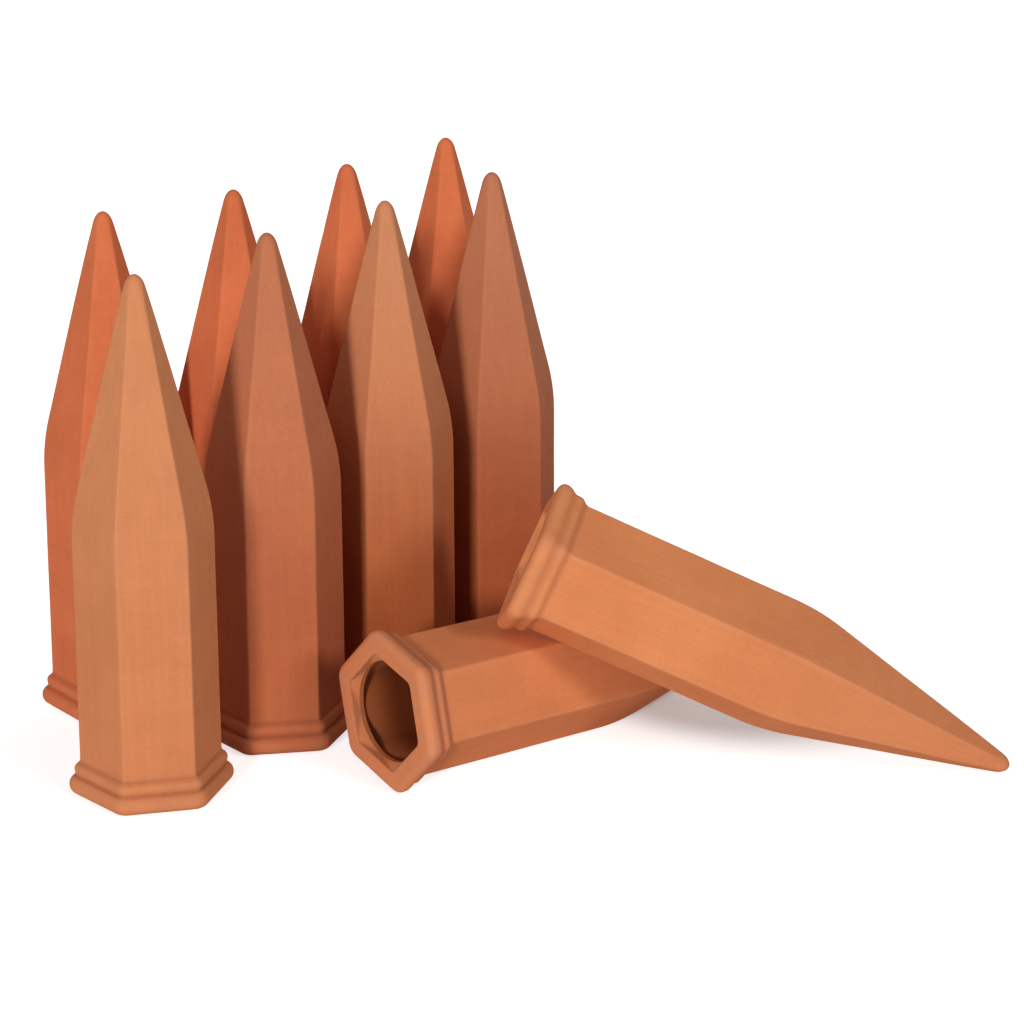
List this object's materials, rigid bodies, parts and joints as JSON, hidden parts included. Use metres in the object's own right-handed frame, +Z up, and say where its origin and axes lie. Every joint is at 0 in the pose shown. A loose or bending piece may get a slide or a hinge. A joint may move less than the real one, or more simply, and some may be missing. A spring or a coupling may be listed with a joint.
{
  "type": "self watering spike",
  "caption": "Set of slender six-sided terracotta watering spikes, hollow and pointed, each with a beaded collar and a round bottle mouth, shown standing, lying and leaning.",
  "frame": {"origin": "centre of the set's footprint, on the floor", "axes": "+Z up, +X to the viewer's right, along which the leaning spike points, +Y away from the viewer"},
  "size_m": [0.3328, 0.2282, 0.178],
  "materials": {
    "clay_light": "matte",
    "clay_brown": "matte",
    "clay_mid": "matte",
    "clay_dark": "matte",
    "clay_red_1": "matte",
    "clay_red_2": "matte",
    "clay_red_3": "matte",
    "clay_red_4": "matte",
    "clay_lying": "matte",
    "clay_leaning": "matte"
  },
  "bodies": {
    "root": {"front_spike_1": "clay_light", "front_spike_2": "clay_brown", "front_spike_3": "clay_mid", "front_spike_4": "clay_dark", "back_spike_1": "clay_red_1", "back_spike_2": "clay_red_2", "back_spike_3": "clay_red_3", "back_spike_4": "clay_red_4", "lying_spike": "clay_lying", "leaning_spike": "clay_leaning"}
  },
  "joints": []
}
